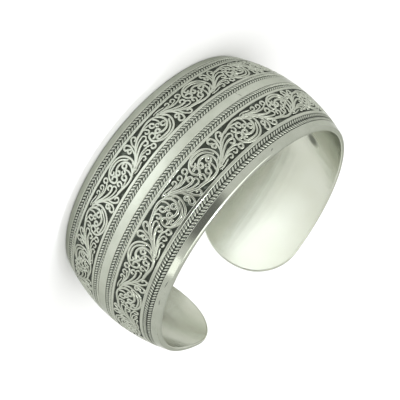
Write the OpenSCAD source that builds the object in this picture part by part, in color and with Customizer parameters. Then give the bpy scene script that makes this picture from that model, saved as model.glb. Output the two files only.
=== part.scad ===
// Cuff bangle lying on its side, as it rests by itself.
// The wrist axis is Z, the back of the cuff is at +Y and its opening faces -Y.

/* [Band] */
// Width of the band, which is the height of the cuff as it lies
band_w = 28; // [26:0.5:34]
// Thickness of the wall
wall_t = 1; // [0.8:0.05:1.6]
// Radius of the crown across the band
crown_r = 37; // [26:1:80]

/* [Plan] */
// Outer radius of the cuff, at the middle of the band
plan_r = 32.75; // [28:0.25:40]
// Gap between the tips, along the outer face
gap_w = 14.5; // [8:0.5:30]

/* [Rounded ends] */
// Radius of the tip of an end, seen square on
tip_r = 18; // [16:0.5:24]
// Radius of the shoulders that join a tip to the rims
shoulder_r = 12.5; // [9:0.5:12.5]
// Length of plain metal between the ornament and a tip
plain_len = 16; // [14:0.5:20]

/* [Ornament] */
// Depth of the sunk ground under the scrollwork
scroll_depth = 0.3; // [0.1:0.05:0.4]
// Depth of the channels that hold the rope borders
rope_depth = 0.2; // [0.1:0.05:0.4]
// Half of the plain strip round the middle
middle_half = 1; // [0.5:0.1:1.5]
// Width of the rope beside the plain strip
inner_rope_w = 1.65; // [1:0.05:2]
// Width of the raised line between that rope and the scrollwork
inner_line_w = 0.75; // [0.4:0.05:1]
// Width of the scrollwork
scroll_w = 6.4; // [5:0.1:7]
// Width of the raised line between the scrollwork and the outer rope
outer_line_w = 0.65; // [0.4:0.05:1]
// Width of the outer rope
outer_rope_w = 1.8; // [1:0.05:2]

/* [Hidden] */
$fn = 96;

// Channels sunk in the outer face: the distance of both edges from the middle line, and the depth
NEAR_EDGE = 0;
FAR_EDGE = 1;
DEPTH = 2;
scroll_start = middle_half + inner_rope_w + inner_line_w;
outer_rope_start = scroll_start + scroll_w + outer_line_w;
CHANNELS = [
    [middle_half, middle_half + inner_rope_w, rope_depth],
    [scroll_start, scroll_start + scroll_w, scroll_depth],
    [outer_rope_start, outer_rope_start + outer_rope_w, rope_depth],
];

// How far a cutting shape reaches past what it cuts
SPARE = 2;

// Angle of a length measured round the outer face
function round_angle(length) = length / plan_r * 180 / PI;

// Half angles left open by the gap between the tips, and by the gap and the plain ends
open_angle = asin(gap_w / 2 / plan_r);
plain_angle = open_angle + round_angle(plain_len);

// Where the shoulders' centres lie, up from the middle line and back from the tip
shoulder_up = band_w / 2 - shoulder_r;
shoulder_back = tip_r - sqrt(pow(tip_r - shoulder_r, 2) - pow(shoulder_up, 2));

// An end is trimmed square on to the middle of its rounded stretch
trim_angle = open_angle + round_angle(shoulder_back / 2);
tip_ahead = plan_r * sin(trim_angle - open_angle);

// The middle of the bounding box, as the tips don't reach as far as the back
middle_y = plan_r * (1 - cos(open_angle)) / 2;

// Disc of the crown, reaching so far in from the outer face
module crown_disc(inset) {
    translate([plan_r - crown_r, band_w / 2]) circle(crown_r - inset);
}

// What lies between the outer face and one so far in, over one stretch of the band's width
module under_crown(outset, inset, low, high) {
    intersection() {
        difference() {
            crown_disc(-outset);
            crown_disc(inset);
        }
        translate([plan_r / 2, band_w / 2 + low]) square([plan_r, high - low]);
    }
}

module wall_section() {
    under_crown(0, wall_t, -band_w / 2, band_w / 2);
}

module channel_sections() {
    for (channel = CHANNELS) {
        under_crown(SPARE, channel[DEPTH], channel[NEAR_EDGE], channel[FAR_EDGE]);
        under_crown(SPARE, channel[DEPTH], -channel[FAR_EDGE], -channel[NEAR_EDGE]);
    }
}

// Sweeps a section round the wrist, leaving the given half angle open
module round_wrist(half_angle) {
    rotate([0, 0, half_angle - 90]) rotate_extrude(angle = 360 - 2 * half_angle) children();
}

// Outline of an end seen square on, with its tip at -tip_ahead
module end_outline() {
    tip_x = tip_r - tip_ahead;
    shoulder = [shoulder_back - tip_ahead, shoulder_up];
    reach = 2 * tip_r / (tip_r - shoulder_r);
    upper = (shoulder - [tip_x, 0]) * reach;
    for (side = [-1, 1]) translate([shoulder[0], side * shoulder_up]) circle(shoulder_r);
    intersection() {
        translate([tip_x, 0]) circle(tip_r);
        polygon([[tip_x, 0], [tip_x, 0] + upper, [tip_x + upper[0], -upper[1]]]);
    }
}

// What is trimmed off an end to round it
module end_trim() {
    translate([0, 0, band_w / 2])
        rotate([0, 0, trim_angle - 90])
            rotate([90, 0, 90])
                linear_extrude(plan_r + SPARE)
                    difference() {
                        translate([-tip_ahead - SPARE, -band_w / 2 - SPARE])
                            square([shoulder_back + SPARE, band_w + 2 * SPARE]);
                        end_outline();
                    }
}

module cuff() {
    color([0.75, 0.77, 0.71])
        translate([0, -middle_y, 0])
            difference() {
                round_wrist(open_angle) wall_section();
                round_wrist(plain_angle) channel_sections();
                for (side = [0, 1]) mirror([side, 0, 0]) end_trim();
            }
}

cuff();
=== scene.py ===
"""Antiqued silver cuff bangle lying on its lower rim, with sunk scroll bands and rope borders.

The ornament is laid out flat, in millimetres: along the band, across it, and depth under the
outer face. bend_to_cuff then wraps every flat mesh round the wrist and turns it into metres.
"""

import math
from collections import namedtuple

import bmesh
import bpy
from mathutils import Euler, Matrix, Vector


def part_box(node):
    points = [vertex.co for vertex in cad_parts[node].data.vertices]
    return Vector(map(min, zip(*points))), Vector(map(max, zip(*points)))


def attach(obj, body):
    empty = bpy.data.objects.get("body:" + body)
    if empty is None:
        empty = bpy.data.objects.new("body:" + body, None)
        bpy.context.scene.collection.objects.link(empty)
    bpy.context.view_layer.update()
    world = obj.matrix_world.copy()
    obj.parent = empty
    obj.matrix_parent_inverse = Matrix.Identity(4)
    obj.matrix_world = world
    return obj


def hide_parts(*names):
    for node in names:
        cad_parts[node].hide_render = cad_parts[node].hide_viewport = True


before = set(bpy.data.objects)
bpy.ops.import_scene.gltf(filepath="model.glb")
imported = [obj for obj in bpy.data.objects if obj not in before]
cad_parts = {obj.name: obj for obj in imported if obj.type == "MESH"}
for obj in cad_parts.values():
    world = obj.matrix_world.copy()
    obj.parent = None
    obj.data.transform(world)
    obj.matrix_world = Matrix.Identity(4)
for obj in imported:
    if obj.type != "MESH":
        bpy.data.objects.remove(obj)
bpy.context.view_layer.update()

# Sizes of the band, in millimetres. The outside comes from the frame.
MM = 0.001
cuff_low, cuff_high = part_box("cuff")
band_w = (cuff_high[2] - cuff_low[2]) / MM
plan_r = (cuff_high[0] - cuff_low[0]) / MM / 2
centre_y = cuff_high[1] / MM - plan_r
middle_z = band_w / 2
crown_r = 37.0
wall_t = 1.0
rim_round = 0.32
gap_w = 14.5
tip_r = 18.0
shoulder_r = 12.5
plain_len = 16.0

# Layout across the band, measured from its middle line
middle_half = 1.0
inner_rope_w = 1.65
inner_line_w = 0.6
scroll_w = 6.55
outer_line_w = 0.65
outer_rope_w = 1.8
rope_depth = 0.2
scroll_depth = 0.3
scroll_start = middle_half + inner_rope_w + inner_line_w
outer_rope_start = scroll_start + scroll_w + outer_line_w
Channel = namedtuple("Channel", "near_edge far_edge depth")
CHANNELS = [
    Channel(middle_half, middle_half + inner_rope_w, rope_depth),
    Channel(scroll_start, scroll_start + scroll_w, scroll_depth),
    Channel(outer_rope_start, outer_rope_start + outer_rope_w, rope_depth),
]

# Lengths along the band, measured both ways from the middle of the back
half_length = (math.pi - math.asin(gap_w / 2 / plan_r)) * plan_r
ornament_half = half_length - plain_len
ornament_gap = 0.15
shoulder_up = band_w / 2 - shoulder_r
tip_centre = half_length - tip_r
shoulder_at = tip_centre + math.sqrt((tip_r - shoulder_r) ** 2 - shoulder_up**2)

# How a channel's wall rises: where its slope starts and ends, and the rows that carry it
WALL_TOP = -0.06
WALL_FOOT = 0.12
WALL_ROWS = [-0.14, -0.06, -0.015, 0.03, 0.08, 0.13]


def smooth_step(low, high, value):
    """0 below low, 1 above high and a soft S between them."""
    t = min(max((value - low) / (high - low), 0.0), 1.0)
    return t * t * (3 - 2 * t)


def channel_depth(along, across):
    """Depth of the sunk channels under the outer face."""
    before_end = smooth_step(WALL_TOP, WALL_FOOT, ornament_half - abs(along))
    for channel in CHANNELS:
        near = smooth_step(WALL_TOP, WALL_FOOT, abs(across) - channel.near_edge)
        far = smooth_step(WALL_TOP, WALL_FOOT, channel.far_edge - abs(across))
        if near * far > 0:
            return channel.depth * near * far * before_end
    return 0.0


def outline_foot(along, across):
    """Centre and radius of the outline's arc nearest to a flat point, and the way out to it.

    The outline's four quarters are equal, so the point is moved to the upper right one first.
    """
    a, b = abs(along), abs(across)
    if a <= shoulder_at:
        return Vector((a, shoulder_up)), shoulder_r, Vector((0, 1))
    if b * (shoulder_at - tip_centre) <= shoulder_up * (a - tip_centre):
        centre, radius = Vector((tip_centre, 0)), tip_r
    else:
        centre, radius = Vector((shoulder_at, shoulder_up)), shoulder_r
    return centre, radius, (Vector((a, b)) - centre).normalized()


def inset_of(along, across):
    """How far a flat point lies inside the outline of the band."""
    centre, radius, way_out = outline_foot(along, across)
    return radius - (Vector((abs(along), abs(across))) - centre).dot(way_out)


def moved_to_inset(along, across, inset):
    """The flat point straight out from a place that lies so far inside the outline."""
    centre, radius, way_out = outline_foot(along, across)
    point = centre + way_out * (radius - inset)
    return math.copysign(point.x, along), math.copysign(point.y, across)


def rim_drop(inset):
    """How far the rounded rim falls below the face."""
    if inset >= rim_round:
        return 0.0
    return rim_round - math.sqrt(max(rim_round**2 - (rim_round - inset) ** 2, 0.0))


def bent_point(along, across, depth):
    """Where a flat point comes to lie on the cuff, in metres."""
    angle = along / plan_r
    r = plan_r - crown_r + math.sqrt((crown_r - depth) ** 2 - across * across)
    return Vector((r * math.sin(angle), r * math.cos(angle) + centre_y, across + middle_z)) * MM


def bend_to_cuff(bm):
    """Wraps a flat mesh, whose height is its third coordinate, round the wrist."""
    for v in bm.verts:
        v.co = bent_point(v.co.x, v.co.y, -v.co.z)
    bm.normal_update()
    bmesh.ops.recalc_face_normals(bm, faces=bm.faces)


# Points this near a cut, in the cut mesh's own unit, are taken to lie on it
cut_snap = 0.001


def only(kind, geometry):
    """The vertices, the edges or the faces of a mixed list."""
    return [g for g in geometry if isinstance(g, kind)]


def all_of(bm):
    """Every vertex, edge and face of a mesh."""
    return bm.verts[:] + bm.edges[:] + bm.faces[:]


def added(bm, mesh):
    """Adds a copy of a mesh and returns its vertices."""
    start = len(bm.verts)
    bm.from_mesh(mesh)
    bm.verts.ensure_lookup_table()
    return bm.verts[start:]


def finished_mesh(name, bm):
    """Turns a bmesh that is done into a mesh."""
    mesh = bpy.data.meshes.new(name)
    bm.to_mesh(mesh)
    bm.free()
    return mesh


def put_in_scene(name, data):
    """A new object for a mesh, a light or the camera."""
    thing = bpy.data.objects.new(name, data)
    bpy.context.scene.collection.objects.link(thing)
    return thing


def make_piece(name, bm, materials):
    """Turns a bmesh into a smooth piece that rides with the cuff."""
    mesh = finished_mesh(name, bm)
    mesh.shade_smooth()
    piece = put_in_scene(name, mesh)
    for material in materials:
        mesh.materials.append(material)
    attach(piece, "root")
    return piece


# The body of the cuff: the steps of its grid, and insets of the rows round the grid out to the rim
grid_inset = 1.2
column_step = 1.0
row_step = 1.0
end_columns = 15
last_column_deg = 84
rim_steps = 5
FLAT_INSETS = [0.75, rim_round + 0.08]
ROUND_INSETS = [rim_round * (1 - math.sin(math.pi / 2 * i / rim_steps)) for i in range(rim_steps + 1)]
weld_reach = 0.0004
OUTSIDE = 0
INSIDE = 1


def filled(stops, step):
    """Sorted stops with evenly spaced ones between those that lie further apart than a step."""
    result = []
    for low, high in zip(stops, stops[1:]):
        count = max(1, round((high - low) / step))
        result += [low + (high - low) * i / count for i in range(count)]
    return result + [stops[-1]]


def band_rows():
    """Distances from the middle line at which the body has rows."""
    stops = [0.0, band_w / 2 - grid_inset]
    for channel in CHANNELS:
        stops += [channel.near_edge + t for t in WALL_ROWS]
        stops += [channel.far_edge - t for t in WALL_ROWS]
    upper = filled(sorted(stops), row_step)
    return [-across for across in reversed(upper[1:])] + upper


def band_columns():
    """Distances from the middle of the back at which the body has columns."""
    reach = half_length - grid_inset - shoulder_at
    stops = [0.0, shoulder_at] + [ornament_half - t for t in WALL_ROWS]
    right = filled(sorted(stops), column_step)
    for i in range(1, end_columns + 1):
        right.append(shoulder_at + reach * math.sin(math.radians(last_column_deg * i / end_columns)))
    return [-along for along in reversed(right[1:])] + right


def grid_half_width(along):
    """Half width of the gridded area, which narrows over the rounded ends."""
    a = abs(along)
    if a <= shoulder_at:
        return band_w / 2 - grid_inset
    tangent_at = tip_centre + (shoulder_at - tip_centre) / (tip_r - shoulder_r) * (tip_r - grid_inset)
    if a < tangent_at:
        return shoulder_up + math.sqrt((shoulder_r - grid_inset) ** 2 - (a - shoulder_at) ** 2)
    return math.sqrt((tip_r - grid_inset) ** 2 - (a - tip_centre) ** 2)


def flat_sheet():
    """The outline of the band as a flat sheet: a grid, and rows round it out to the rim."""
    rows, columns = band_rows(), band_columns()
    bm = bmesh.new()
    bmesh.ops.create_grid(bm, x_segments=len(columns) - 1, y_segments=len(rows) - 1, size=1)
    for v in bm.verts:
        along = columns[round((v.co.x + 1) / 2 * (len(columns) - 1))]
        across = rows[round((v.co.y + 1) / 2 * (len(rows) - 1))]
        v.co = (along, across * grid_half_width(along) / (band_w / 2 - grid_inset), 0)
    for inset in FLAT_INSETS + ROUND_INSETS:
        edge_loop = [e for e in bm.edges if e.is_boundary]
        grown = bmesh.ops.extrude_edge_only(bm, edges=edge_loop)["geom"]
        for v in only(bmesh.types.BMVert, grown):
            v.co = (*moved_to_inset(v.co.x, v.co.y, inset), 0)
    return bm


def cuff_body(outside, inside):
    """The wall itself: the flat sheet, given its thickness, its rounded rim, its channels and its bend."""
    bm = flat_sheet()
    bmesh.ops.solidify(bm, geom=bm.faces[:], thickness=wall_t)
    for face in bm.faces:
        face.material_index = INSIDE if all(abs(v.co.z) > wall_t / 2 for v in face.verts) else OUTSIDE
    for v in bm.verts:
        drop = rim_drop(inset_of(v.co.x, v.co.y))
        on_inside = abs(v.co.z) > wall_t / 2
        v.co.z = drop - wall_t if on_inside else -drop - channel_depth(v.co.x, v.co.y)
    bmesh.ops.remove_doubles(bm, verts=bm.verts, dist=weld_reach)
    bend_to_cuff(bm)
    body = make_piece("cuff_body", bm, [outside, inside])
    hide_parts("cuff")
    return body


# Scrollwork: one repeat, drawn from the centre of its wheel, which every other repeat mirrors
ScrollBand = namedtuple("ScrollBand", "name side first_wheel repeat_len")
SCROLL_BANDS = [
    ScrollBand("scrollwork_near", 1, 2.0, 11.72),
    ScrollBand("scrollwork_far", -1, 2.3, 11.83),
]
scroll_middle = 6.55
arc_step_deg = 30


def arc(x, y, radius, start, end, end_radius=None, tall=1.0):
    """Points along a round stretch, in degrees, which may wind in or out and may be taller than wide."""
    end_radius = radius if end_radius is None else end_radius
    count = max(3, round(abs(end - start) / arc_step_deg))
    points = []
    for i in range(count + 1):
        t = i / count
        angle = math.radians(start + (end - start) * t)
        r = radius + (end_radius - radius) * t
        points.append((x + r * math.cos(angle), y + r * math.sin(angle) * tall))
    return points


Stroke = namedtuple("Stroke", "start_w end_w points")
STROKES = [
    # Hoop of the wheel, up the right, over the top and round its own eye on the left
    Stroke(0.4, 0.44, [
        (2.4, -2.0), (2.95, -1.35), (3.3, -0.55), (3.4, 0.2), (3.25, 1.0), (2.85, 1.8), (2.2, 2.5),
        (1.3, 2.92), (0.2, 3.06), (-0.9, 2.95), (-1.8, 2.55), (-2.45, 2.0), (-2.84, 1.35), (-2.9, 0.8),
        *arc(-2.1, 0.48, 0.7, 195, 505, 0.62),
    ]),
    # Line inside the hoop
    Stroke(0.36, 0.42, [
        (3.15, 0.3), (2.75, 0.62), (2.45, 1.15), (2.1, 1.65), (1.6, 2.08), (0.9, 2.4), (0.2, 2.47),
        (-0.5, 2.43), (-1.1, 2.33), *arc(-1.4, 1.8, 0.48, 100, 380, 0.38),
    ]),
    # Main stem under the wheel, up its right and in to the eye at the middle
    Stroke(0.42, 0.46, [
        (-10.4, 2.32), (-9.7, 2.0), (-9.0, 1.64), (-8.3, 1.22), (-7.7, 0.8), (-7.15, 0.3),
        (-6.6, -0.28), (-6.1, -0.8), (-5.6, -1.2), (-5.0, -1.55), (-4.4, -1.85), (-3.5, -2.08),
        (-2.9, -2.2), (-2.1, -2.42), (-1.3, -2.6), (-0.5, -2.68), (0.3, -2.6), (0.95, -2.4),
        (1.55, -2.0), (2.02, -1.42), (2.3, -0.8), (2.38, -0.15), (2.27, 0.4), (1.95, 0.88),
        (1.5, 1.26), (0.9, 1.5), (0.3, 1.53), (-0.2, 1.4), *arc(-0.6, 0.62, 0.5, 95, 435, 0.46),
    ]),
    # Second line on the main stem
    Stroke(0.25, 0.3, [
        (-4.0, -1.72), (-3.2, -1.93), (-2.2, -2.08), (-1.4, -2.08), (-0.75, -1.92), (-0.3, -1.7),
    ]),
    # Rings inside the wheel, and the stalk that carries them
    Stroke(0.42, 0.42, arc(1.38, 0.28, 0.5, 20, 380)),
    Stroke(0.38, 0.38, arc(0.32, -0.4, 0.38, 60, 420)),
    Stroke(0.42, 0.42, arc(-0.46, -1.25, 0.48, 45, 405, tall=1.2)),
    Stroke(0.3, 0.4, [
        (0.95, 0.0), (1.02, -0.45), (1.12, -0.95), (1.07, -1.5), (0.88, -1.98), (0.62, -2.4),
    ]),
    Stroke(0.3, 0.3, [(-0.2, -0.75), (0.05, -0.68), (0.3, -0.75)]),
    # Hook that grows up from the main stem
    Stroke(0.34, 0.42, [(-2.35, -2.0), (-1.9, -1.75), *arc(-2.1, -1.08, 0.5, -40, 250, 0.4)]),
    # Four tendrils over the stem, each longer than the last
    Stroke(0.24, 0.36, [
        (-10.0, 2.42), (-9.1, 2.22), (-8.3, 2.02), (-7.7, 1.92), (-7.2, 1.88),
        *arc(-6.68, 2.32, 0.46, 262, 545, 0.38),
    ]),
    Stroke(0.22, 0.36, [
        (-9.2, 2.1), (-8.4, 1.9), (-7.6, 1.7), (-6.95, 1.56), (-6.2, 1.48), (-5.7, 1.55),
        *arc(-5.22, 2.14, 0.5, 275, 575, 0.43),
    ]),
    Stroke(0.26, 0.42, [
        (-8.8, 2.1), (-8.0, 1.82), (-7.4, 1.54), (-6.8, 1.3), (-6.2, 1.16), (-5.6, 1.12),
        (-5.0, 1.14), (-4.4, 1.26), (-3.95, 1.48), *arc(-3.56, 2.22, 0.54, 245, 595, 0.49),
    ]),
    Stroke(0.4, 0.42, [
        (-9.3, 2.0), (-8.7, 1.72), (-8.1, 1.4), (-7.5, 1.0), (-6.9, 0.62), (-6.2, 0.28), (-5.6, 0.02),
        (-5.0, -0.14), (-4.5, -0.2), *arc(-4.13, 0.37, 0.56, 275, 565, 0.49),
    ]),
    # Low line beside the border, spur at the root of the tendrils, and the short bridge from stem to hoop
    Stroke(0.24, 0.3, [(-10.4, 2.64), (-9.9, 2.8), (-9.2, 2.8), (-8.5, 2.64), (-7.9, 2.46), (-7.4, 2.4)]),
    Stroke(0.24, 0.3, [(-9.9, 1.95), (-9.66, 2.1), (-9.45, 2.4), (-9.26, 2.7)]),
    Stroke(0.34, 0.24, [(1.75, -1.8), (2.1, -1.42), (2.5, -1.12), (2.85, -0.9), (3.1, -0.6)]),
    # Hairpin between the tendrils and the stem
    Stroke(0.28, 0.36, [
        (-8.4, 1.15), (-7.7, 0.72), (-7.0, 0.2), (-6.4, -0.2), (-5.8, -0.58), (-5.1, -0.92), (-4.4, -1.12),
        *arc(-3.6, -0.68, 0.55, 262, 445), (-4.2, -0.2), (-4.8, -0.24), (-5.4, -0.02),
    ]),
    # Trunk that falls from the tendrils into a ring over a larger one
    Stroke(0.34, 0.44, [
        (-9.2, 1.72), (-8.4, 1.2), (-7.75, 0.66), (-7.3, 0.15), (-7.05, -0.4), (-6.85, -0.95),
        (-6.64, -1.55), (-6.56, -2.1), *arc(-7.34, -2.52, 0.63, -12, -300, 0.5),
    ]),
    Stroke(0.4, 0.4, [(-6.95, -0.95), *arc(-7.46, -1.36, 0.42, 40, 400)]),
    # Hook under the stem
    Stroke(0.34, 0.42, [
        (-6.5, -0.35), (-6.24, -0.9), (-6.14, -1.5), (-6.02, -2.0), (-5.78, -2.42),
        *arc(-5.0, -2.48, 0.56, 215, 505, 0.44),
    ]),
]

# A stroke has a half round section, and its foot is wider than the bright crest that is drawn.
# The shares are of its width and height at the first two sections from a tip.
stroke_step = 0.17
crest_drop = 0.01
stroke_sides = 6
stroke_fullness = 0.4
stroke_spread = 1.35
curve_points_per_step = 3
TIP_SHARES = [(0.35, 0.5), (0.8, 0.85)]
smallest_length = 1e-9


def curve_point(a, b, c, d, t):
    """A point of the smooth curve from b to c whose neighbours are a and d."""
    return 0.5 * (2 * b + (c - a) * t + (2 * a - 5 * b + 4 * c - d) * t * t
                  + (3 * b - 3 * c + d - a) * t**3)


def fine_curve(points, step):
    """Many places along a smooth curve through the points."""
    guides = [Vector(p) for p in points]
    guides = [2 * guides[0] - guides[1]] + guides + [2 * guides[-1] - guides[-2]]
    fine = []
    for a, b, c, d in zip(guides, guides[1:], guides[2:], guides[3:]):
        count = max(2, round((c - b).length / step * curve_points_per_step))
        fine += [curve_point(a, b, c, d, i / count) for i in range(count)]
    return fine + [guides[-2]]


def through(points, step):
    """Places and directions at even steps along a smooth curve through the points."""
    fine = fine_curve(points, step)
    lengths = [0.0]
    for a, b in zip(fine, fine[1:]):
        lengths.append(lengths[-1] + (b - a).length)
    last = max(4, round(lengths[-1] / step))
    places, at = [], 0
    for i in range(last + 1):
        wanted = lengths[-1] * i / last
        while at < len(fine) - 2 and lengths[at + 1] < wanted:
            at += 1
        share = (wanted - lengths[at]) / max(lengths[at + 1] - lengths[at], smallest_length)
        places.append(fine[at].lerp(fine[at + 1], share))
    ahead = [places[min(i + 1, last)] - places[max(i - 1, 0)] for i in range(last + 1)]
    return [(place, way.normalized()) for place, way in zip(places, ahead)]


def stroke_frame(place, direction, half_width, height):
    """Matrix that sets a half round section across a stroke's line."""
    side = Vector((-direction.y, direction.x))
    return Matrix((
        (side.x * half_width, 0, direction.x, place.x),
        (side.y * half_width, 0, direction.y, place.y),
        (0, height, 0, -scroll_depth),
        (0, 0, 0, 1),
    ))


def stroke_frames(stroke):
    """The frames of all sections of a stroke, which is narrower and lower at its tips."""
    stations = through(stroke.points, stroke_step)
    last = len(stations) - 1
    frames = []
    for i, (place, direction) in enumerate(stations):
        from_tip = min(i, last - i)
        wide, high = TIP_SHARES[from_tip] if from_tip < len(TIP_SHARES) else (1.0, 1.0)
        full_width = stroke.start_w + (stroke.end_w - stroke.start_w) * i / last
        half_width = full_width / 2 * stroke_spread * wide
        frames.append(stroke_frame(place, direction, half_width, (scroll_depth - crest_drop) * high))
    return frames


def half_round_section():
    """A bmesh that holds only the flat half round section of a stroke, of radius 1."""
    bm = bmesh.new()
    bmesh.ops.create_circle(bm, cap_ends=True, radius=1, segments=stroke_sides + 1)
    for i, v in enumerate(bm.verts):
        angle = math.pi * i / stroke_sides
        v.co = (math.cos(angle), math.sin(angle) ** stroke_fullness, 0)
    return bm


def stroke_solid(stroke):
    """One raised stroke of the scrollwork, its half round section drawn out along the line."""
    bm = half_round_section()
    cap, moving = bm.faces[:], bm.verts[:]
    earlier = Matrix.Identity(4)
    for i, here in enumerate(stroke_frames(stroke)):
        if i > 0:
            grown = bmesh.ops.extrude_face_region(bm, geom=cap)["geom"]
            if i > 1:
                bmesh.ops.delete(bm, geom=cap, context="FACES_ONLY")
            cap = only(bmesh.types.BMFace, grown)
            moving = only(bmesh.types.BMVert, grown)
        step = here @ earlier.inverted()
        for v in moving:
            v.co = step @ v.co
        earlier = here
    return finished_mesh("stroke", bm)


def scroll_repeat():
    """The flat mesh of one repeat."""
    bm = bmesh.new()
    for stroke in STROKES:
        mesh = stroke_solid(stroke)
        bm.from_mesh(mesh)
        bpy.data.meshes.remove(mesh)
    return finished_mesh("scroll_repeat", bm)


def trim_at(bm, end):
    """Cuts off what lies past an end of the ornament, and closes the cut."""
    way = math.copysign(1, end)
    cut = bmesh.ops.bisect_plane(
        bm, geom=all_of(bm), dist=cut_snap, plane_co=(end, 0, 0), plane_no=(way, 0, 0), clear_outer=True)
    bmesh.ops.holes_fill(bm, edges=only(bmesh.types.BMEdge, cut["geom_cut"]))


def scroll_band(band, repeat_mesh, finish):
    """A row of repeats along one half of the band, trimmed where the ornament ends."""
    bm = bmesh.new()
    reach = math.ceil(half_length / band.repeat_len)
    for turn in range(-reach, reach + 1):
        flip = -1 if turn % 2 else 1
        for v in added(bm, repeat_mesh):
            v.co.x += band.first_wheel + band.repeat_len * turn
            v.co.y = band.side * (scroll_middle + v.co.y * flip)
    for way in (-1, 1):
        trim_at(bm, way * (ornament_half - ornament_gap))
    bend_to_cuff(bm)
    return make_piece(band.name, bm, [finish])


# Rope borders: slanted grains in two rows that meet in a herringbone
Rope = namedtuple("Rope", "name start width pitch side lean rubbed")
ROPES = [
    Rope("rope_outer_near", outer_rope_start, outer_rope_w, 0.8142, 1, 1, False),
    Rope("rope_inner_near", middle_half, inner_rope_w, 0.7628, 1, -1, True),
    Rope("rope_inner_far", middle_half, inner_rope_w, 0.7628, -1, -1, True),
    Rope("rope_outer_far", outer_rope_start, outer_rope_w, 0.8142, -1, -1, True),
]
grain_length_share = 0.5
grain_width_share = 0.41
grain_fullness = 0.85
grain_sides = 10
grain_rings = 6
lean_slope = 0.8


def grain_mesh():
    """The upper half of a full round grain of radius 1, closed underneath."""
    bm = bmesh.new()
    bmesh.ops.create_uvsphere(bm, u_segments=grain_sides, v_segments=grain_rings, radius=1)
    for v in bm.verts:
        v.co = [math.copysign(abs(c) ** grain_fullness, c) for c in v.co]
    bmesh.ops.bisect_plane(bm, geom=all_of(bm), dist=cut_snap, plane_no=(0, 0, -1), clear_outer=True)
    bmesh.ops.holes_fill(bm, edges=[e for e in bm.edges if e.is_boundary])
    return finished_mesh("grain", bm)


def rope_border(rope, grain, finish):
    """Both rows of one rope border, whose grains stand on the floor of their channel."""
    bm = bmesh.new()
    row_w = rope.width / 2
    grain_w = rope.pitch * grain_width_share
    count = int((ornament_half - ornament_gap) * 2 / rope.pitch)
    for row in (-1, 1):
        row_middle = rope.start + row_w + row * row_w / 2
        for i in range(count):
            middle = (i - (count - 1) / 2) * rope.pitch
            for v in added(bm, grain):
                across = v.co.y * row_w * grain_length_share
                v.co.x = middle + v.co.x * grain_w + rope.lean * row * across * lean_slope
                v.co.y = rope.side * (row_middle + across)
                v.co.z = v.co.z * rope_depth - rope_depth
    bend_to_cuff(bm)
    return make_piece(rope.name, bm, [finish])


class Signal:
    """A socket that carries a number; Python's operators on it add Math nodes."""

    def __init__(self, tree, socket):
        self.tree = tree
        self.socket = socket

    def math(self, operation, *terms):
        """A Math node on this number and further ones."""
        inputs = dict(enumerate((self, *terms)))
        return self.tree.node("ShaderNodeMath", {"operation": operation}, inputs)

    def __add__(self, other):
        return self.math("ADD", other)

    __radd__ = __add__

    def __sub__(self, other):
        return self.math("SUBTRACT", other)

    def __rsub__(self, other):
        return self.tree.node("ShaderNodeMath", {"operation": "SUBTRACT"}, {0: other, 1: self})

    def __mul__(self, other):
        return self.math("MULTIPLY", other)

    __rmul__ = __mul__

    def __pow__(self, other):
        return self.math("POWER", other)

    def between(self, low, high):
        """0 below low, 1 above high and a soft S between them."""
        settings = {"interpolation_type": "SMOOTHSTEP"}
        inputs = {"Value": self, "From Min": low, "From Max": high}
        return self.tree.node("ShaderNodeMapRange", settings, inputs)


class NodeTree:
    """The nodes of a material or of the world."""

    def __init__(self, owner):
        owner.use_nodes = True
        self.nodes = owner.node_tree.nodes
        self.links = owner.node_tree.links

    def node(self, kind, settings, inputs, output=0):
        """Adds a node, sets it up, fills its sockets with values or links and returns one output."""
        made = self.nodes.new(kind)
        for name, value in settings.items():
            setattr(made, name, value)
        for name, value in inputs.items():
            self.fill(made.inputs[name], value)
        return Signal(self, made.outputs[output])

    def fill(self, socket, value):
        """Links a signal to a socket, or sets a plain value on it."""
        if isinstance(value, Signal):
            self.links.new(value.socket, socket)
        else:
            socket.default_value = value


class Finish(NodeTree):
    """A material that is built node by node."""

    def __init__(self, name):
        self.material = bpy.data.materials.new(name)
        super().__init__(self.material)
        self.shader = self.nodes["Principled BSDF"]

    def set(self, **values):
        """Sets the shader's own sockets; underscores stand for spaces."""
        for name, value in values.items():
            self.fill(self.shader.inputs[name.replace("_", " ")], value)

    def place(self):
        """Where a point lies on its piece, in metres."""
        return self.node("ShaderNodeTexCoord", {}, {}, "Object")

    def parts(self, place):
        """The three numbers of a place."""
        split = self.node("ShaderNodeSeparateXYZ", {}, {0: place}).socket.node
        return [Signal(self, socket) for socket in split.outputs]

    def noise(self, place, scale, detail=2.0, roughness=0.5):
        """Cloudy noise between 0 and 1."""
        inputs = {"Vector": place, "Scale": scale, "Detail": detail, "Roughness": roughness}
        return self.node("ShaderNodeTexNoise", {}, inputs, "Fac")

    def mixed(self, share, low, high):
        """Colour between low and high. The node has a set of sockets for each kind of mix."""
        factor, colour_a, colour_b, colour_out = 0, 6, 7, 2
        inputs = {factor: share, colour_a: low, colour_b: high}
        return self.node("ShaderNodeMix", {"data_type": "RGBA"}, inputs, colour_out)

    def bump(self, height, strength, distance, over=None):
        """Normal of a rough surface, which may lie over a wavy one."""
        inputs = {"Height": height, "Strength": strength, "Distance": distance}
        if over is not None:
            inputs["Normal"] = over
        return self.node("ShaderNodeBump", {}, inputs)


# Colours of the metal and of its tarnish
SILVER = (0.435, 0.458, 0.392, 1)
SILVER_WARM = (0.4, 0.424, 0.358, 1)
SILVER_EDGE = (0.62, 0.63, 0.6, 1)
INSIDE_SILVER = (0.64, 0.66, 0.585, 1)
INSIDE_WARM = (0.61, 0.63, 0.545, 1)
STAIN = (0.2, 0.21, 0.18, 1)
OXIDE = (0.025, 0.031, 0.022, 1)
WORN_OXIDE = (0.085, 0.1, 0.08, 1)

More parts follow.
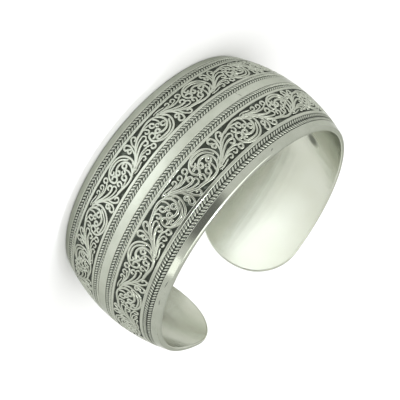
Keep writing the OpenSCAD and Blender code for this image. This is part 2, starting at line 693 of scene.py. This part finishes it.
# Depths under the face, in millimetres, at which the oxide starts and is full
BODY_OXIDE = (0.03, 0.12)
SCROLL_OXIDE = (0.19, 0.27)
DARK_ROPE_OXIDE = (0.04, 0.12)
RUBBED_ROPE_OXIDE = (0.08, 0.18)

# Where the oxide ends, in millimetres, and where it is rubbed
oxide_past_rope = 0.15
oxide_edge = outer_rope_start + outer_rope_w + oxide_past_rope
oxide_fade = 0.1
ragged_depth = 0.08
wall_fade = 0.05
RUBBED_PATCHES = (0.5, 0.72)
middle_rubbed = 0.75

# Noise of the finishes: spots per millimetre, their detail, and the levels that warm the silver
patch_scale = 0.35
wear_scale = 1.1
grime_scale = 3.2
inside_patch_scale = 0.12
spot_detail = 3.0
WARM_PATCHES = (0.35, 0.7)
INSIDE_WARM_PATCHES = (0.3, 0.7)

# Roughness, and how far patches, brush marks and the stain raise it
silver_roughness = 0.09
silver_spread = 0.06
oxide_roughness = 0.62
oxide_dullness = 0.9
inside_roughness = 0.24
inside_patch_spread = 0.03
inside_brush_spread = 0.02
stain_spread = 0.1

# Brush marks and waves: how fine they are along, across and into the band, and how strong
outside_brushing = (1.2, 14.0, 1.0)
inside_brushing = (0.4, 9.0, 1.0)
inside_waves = (0.25, 0.12, 0.0)
brush_detail = 3.0
brush_raggedness = 0.6
brush_depth = 0.02 * MM
wave_depth = 0.4 * MM
outside_bump = 0.25
grime_bump = 0.7
inside_bump = 0.14
wave_bump = 0.2


def band_place(finish):
    """(flat position, depth): millimetres along, across and under the outer face of the band."""
    x, y, z = (part * (1 / MM) for part in finish.parts(finish.place()))
    y = y - centre_y
    across = z - middle_z
    r = (x * x + y * y) ** 0.5
    along = x.math("ARCTAN2", y) * plan_r
    from_crown = r - (plan_r - crown_r)
    depth = crown_r - (from_crown * from_crown + across * across) ** 0.5
    flat = finish.node("ShaderNodeCombineXYZ", {}, {0: along, 1: across, 2: depth})
    return flat, depth


def stretched(finish, place, scale):
    """A place stretched along its axes."""
    return finish.node("ShaderNodeMapping", {}, {"Vector": place, "Scale": scale})


def brush_marks(finish, flat, scale):
    """Noise stretched into fine lines, as brushing and handling leave them."""
    return finish.noise(stretched(finish, flat, scale), 1.0, brush_detail, brush_raggedness)


# Small marks of wear, by place along and across the band, half sizes and turn in degrees.
# A mark goes through the wall at any depth.
Mark = namedtuple("Mark", "along across half_length half_width turn")
NICKS = [
    Mark(7.5, -0.75, 0.5, 0.13, 100),
    Mark(7.7, 0.15, 0.55, 0.16, 57),
    Mark(-35.6, 13.1, 1.3, 0.13, 5),
    Mark(-41.3, 13.1, 1.0, 0.13, -6),
    Mark(-53.6, 13.6, 0.3, 0.13, 0),
    Mark(3.1, 13.15, 0.6, 0.14, -16),
]
INSIDE_STAIN = Mark(53.6, 4.0, 2.6, 1.7, 58)
nick_softness = 0.6
nick_strength = 0.75
stain_softness = 0.7
any_depth = 1000.0


def mark_shade(finish, flat, mark, softness):
    """1 in the middle of a mark on the band and 0 around it."""
    inputs = {
        "Vector": flat,
        "Location": (mark.along, mark.across, 0),
        "Rotation": (0, 0, math.radians(mark.turn)),
        "Scale": (mark.half_length, mark.half_width, any_depth),
    }
    inside = finish.node("ShaderNodeMapping", {"vector_type": "TEXTURE"}, inputs)
    reach = finish.node("ShaderNodeVectorMath", {"operation": "LENGTH"}, {0: inside}, "Value")
    return 1 - reach.between(1 - softness, 1.0)


def oxide_cover(finish, flat, depth, grime, oxide_depths):
    """1 where black oxide covers the sunk ornament, ragged at the edges, and 0 elsewhere."""
    along, across = (part.math("ABSOLUTE") for part in finish.parts(flat)[:2])
    sunk = (depth + (grime - 0.5) * ragged_depth).between(*oxide_depths)
    before_rim = 1 - across.between(oxide_edge, oxide_edge + oxide_fade)
    before_end = 1 - along.between(ornament_half + oxide_fade, ornament_half + 2 * oxide_fade)
    outer_half = 1 - depth.between(wall_t / 2 - wall_fade, wall_t / 2)
    return sunk * outer_half * (before_rim * before_end)


def oxide_colour(finish, flat):
    """Black, and greyer where it is rubbed, which is in patches and along the inner ropes."""
    across = finish.parts(flat)[1].math("ABSOLUTE")
    worn = finish.noise(flat, wear_scale, spot_detail).between(*RUBBED_PATCHES)
    by_the_middle = 1 - across.between(middle_half + inner_rope_w, scroll_start)
    rubbed = worn.math("MAXIMUM", by_the_middle * middle_rubbed)
    return finish.mixed(rubbed, OXIDE, WORN_OXIDE)


def antiqued_finish(name, oxide_depths, nicks=()):
    """Bright silver on the raised parts and black oxide in the sunk ones and in the nicks."""
    finish = Finish(name)
    flat, depth = band_place(finish)
    patches = finish.noise(flat, patch_scale, spot_detail)
    grime = finish.noise(flat, grime_scale, spot_detail)
    brushed = brush_marks(finish, flat, outside_brushing)
    oxide = oxide_cover(finish, flat, depth, grime, oxide_depths)
    for nick in nicks:
        oxide = oxide.math("MAXIMUM", mark_shade(finish, flat, nick, nick_softness) * nick_strength)
    silver = finish.mixed(patches.between(*WARM_PATCHES), SILVER, SILVER_WARM)
    bright_roughness = silver_roughness + patches * silver_spread + brushed * silver_spread
    finish.set(
        Base_Color=finish.mixed(oxide, silver, oxide_colour(finish, flat)),
        Metallic=1 - oxide * oxide_dullness,
        Specular_Tint=SILVER_EDGE,
        Roughness=bright_roughness * (1 - oxide) + oxide * oxide_roughness,
        Normal=finish.bump(brushed + grime * grime_bump, outside_bump, brush_depth),
    )
    return finish.material


def inside_finish():
    """The plain inside, satin from handling."""
    finish = Finish("worn_silver_inside")
    flat, _ = band_place(finish)
    patches = finish.noise(flat, inside_patch_scale)
    brushed = brush_marks(finish, flat, inside_brushing)
    waves = finish.noise(stretched(finish, flat, inside_waves), 1.0, 1.0)
    silver = finish.mixed(patches.between(*INSIDE_WARM_PATCHES), INSIDE_SILVER, INSIDE_WARM)
    stain = mark_shade(finish, flat, INSIDE_STAIN, stain_softness)
    handled = patches * inside_patch_spread + brushed * inside_brush_spread
    finish.set(
        Base_Color=finish.mixed(stain, silver, STAIN),
        Metallic=1.0,
        Specular_Tint=SILVER_EDGE,
        Roughness=inside_roughness + handled + stain * stain_spread,
        Normal=finish.bump(brushed, inside_bump, brush_depth, finish.bump(waves, wave_bump, wave_depth)),
    )
    return finish.material


# The floor, in metres
floor_half = 3.0
floor_cells = 8
floor_tooth_scale = 60.0
floor_roughness = 0.7
FLOOR_DARK = (0.86, 0.86, 0.86, 1)
FLOOR_PALE = (0.88, 0.88, 0.88, 1)


def floor_finish():
    """Pale matt card with a fine tooth."""
    finish = Finish("pale_floor")
    tooth = finish.noise(finish.place(), floor_tooth_scale)
    finish.set(Base_Color=finish.mixed(tooth, FLOOR_DARK, FLOOR_PALE), Roughness=floor_roughness)
    return finish.material


def pale_floor():
    """The floor that the cuff stands on."""
    bm = bmesh.new()
    bmesh.ops.create_grid(bm, x_segments=floor_cells, y_segments=floor_cells, size=floor_half)
    mesh = finished_mesh("floor", bm)
    mesh.materials.append(floor_finish())
    put_in_scene("floor", mesh)


# Lights, in degrees, metres and watts. The floor that a spot brightens is given in millimetres.
Softbox = namedtuple("Softbox", "name azimuth elevation distance width height power")
SOFTBOXES = [
    Softbox("overhead_softbox", 0.0, 90.0, 0.9, 0.5, 0.5, 1.0),
    Softbox("side_softbox", -98.0, 14.0, 0.9, 0.25, 0.2, 0.2),
    Softbox("key_softbox", -160.0, 61.0, 1.2, 2.2, 0.45, 8.0),
]
Spot = namedtuple("Spot", "name x y radius power blend")
SPOTS = [
    Spot("table_spot_wide", -50.0, 33.0, 43.0, 5.0, 0.6),
    Spot("table_spot_near", -33.0, 43.0, 25.0, 16.0, 0.2),
    Spot("hollow_spot", 0.0, 3.5, 12.5, 44.0, 0.4),
]
spot_distance = 0.7
spot_lamp_r = 0.015
COOL_WHITE = (0.96, 1.0, 1.06)

# The room: its even light, and the dimmer patch with its place and its reach in degrees
ROOM_WHITE = (1.0, 1.0, 0.985, 1)
room_light = 1.05
dim_light = 0.27
dim_azimuth = -144.0
dim_elevation = 16.0
dim_reach = 26.0
dim_core = 13.0


def direction_to(azimuth, elevation):
    """Direction from the cuff, in degrees. Azimuth 0 looks along +Y."""
    a, e = math.radians(azimuth), math.radians(elevation)
    return Vector((math.sin(a) * math.cos(e), -math.cos(a) * math.cos(e), math.sin(e)))


def hang_light(name, data, target, way, distance):
    """Hangs a light at a distance from its target and aims it there."""
    light = put_in_scene(name, data)
    light.location = target + way * distance
    light.rotation_euler = way.to_track_quat("Z", "Y").to_euler()


def softbox_light(box):
    """A soft light aimed at the middle of the cuff."""
    data = bpy.data.lights.new(box.name, "AREA")
    data.shape = "RECTANGLE"
    data.size = box.width
    data.size_y = box.height
    data.energy = box.power
    cuff_middle = Vector((0, 0, middle_z * MM))
    hang_light(box.name, data, cuff_middle, direction_to(box.azimuth, box.elevation), box.distance)


def table_light(spot):
    """A soft-edged spot straight above that brightens a round patch of the floor."""
    data = bpy.data.lights.new(spot.name, "SPOT")
    data.spot_size = 2 * math.atan(spot.radius * MM / spot_distance)
    data.spot_blend = spot.blend
    data.shadow_soft_size = spot_lamp_r
    data.color = COOL_WHITE
    data.energy = spot.power
    patch_middle = Vector((spot.x, spot.y, 0)) * MM
    hang_light(spot.name, data, patch_middle, direction_to(0.0, 90.0), spot_distance)


def room():
    """An even white room with one dimmer patch, which gives the near rim its dark stretch."""
    world = bpy.data.worlds.new("studio")
    tree = NodeTree(world)
    way = tree.node("ShaderNodeTexCoord", {}, {}, "Generated")
    compared = {0: way, 1: direction_to(dim_azimuth, dim_elevation)}
    nearness = tree.node("ShaderNodeVectorMath", {"operation": "DOT_PRODUCT"}, compared, "Value")
    inputs = {
        "Value": nearness,
        "From Min": math.cos(math.radians(dim_reach)),
        "From Max": math.cos(math.radians(dim_core)),
        "To Min": room_light,
        "To Max": dim_light,
    }
    strength = tree.node("ShaderNodeMapRange", {"interpolation_type": "SMOOTHSTEP"}, inputs)
    background = tree.nodes["Background"]
    tree.fill(background.inputs["Color"], ROOM_WHITE)
    tree.fill(background.inputs["Strength"], strength)
    bpy.context.scene.world = world


def studio_light():
    """The room, the softboxes and the spots over the floor."""
    room()
    for box in SOFTBOXES:
        softbox_light(box)
    for spot in SPOTS:
        table_light(spot)
    bpy.context.scene.view_settings.view_transform = "Standard"


# The camera, at the photo's angle to the cuff: its place in millimetres, its turns in degrees, its focal
# length in pixels of a square frame, and how far it sees in metres
camera_place = Vector((-109.9, 213.9, 107.3))
camera_azimuth = 207.08
camera_elevation = 21.65
camera_roll = 128.44
focal_px = 1166.1
frame_px = 400
sensor_mm = 36.0
nearest_seen = 0.01
farthest_seen = 20.0


def photo_camera():
    """The camera, which the final picture is taken with."""
    data = bpy.data.cameras.new("camera")
    data.sensor_width = sensor_mm
    data.lens = sensor_mm * focal_px / frame_px
    data.clip_start = nearest_seen
    data.clip_end = farthest_seen
    camera = put_in_scene("camera", data)
    camera.location = camera_place * MM
    level = Euler((math.radians(90 - camera_elevation), 0, math.radians(camera_azimuth)), "XYZ").to_matrix()
    camera.rotation_euler = (level @ Matrix.Rotation(math.radians(camera_roll), 3, "Z")).to_euler()
    bpy.context.scene.camera = camera


def build_cuff():
    """The body and its six pieces of relief."""
    cuff_body(antiqued_finish("antiqued_silver", BODY_OXIDE, NICKS), inside_finish())
    scroll_silver = antiqued_finish("scroll_silver", SCROLL_OXIDE)
    repeat_mesh = scroll_repeat()
    for band in SCROLL_BANDS:
        scroll_band(band, repeat_mesh, scroll_silver)
    dark_rope_silver = antiqued_finish("dark_rope_silver", DARK_ROPE_OXIDE)
    rubbed_rope_silver = antiqued_finish("rubbed_rope_silver", RUBBED_ROPE_OXIDE)
    grain = grain_mesh()
    for rope in ROPES:
        rope_border(rope, grain, rubbed_rope_silver if rope.rubbed else dark_rope_silver)


photo_camera()
studio_light()
pale_floor()
build_cuff()
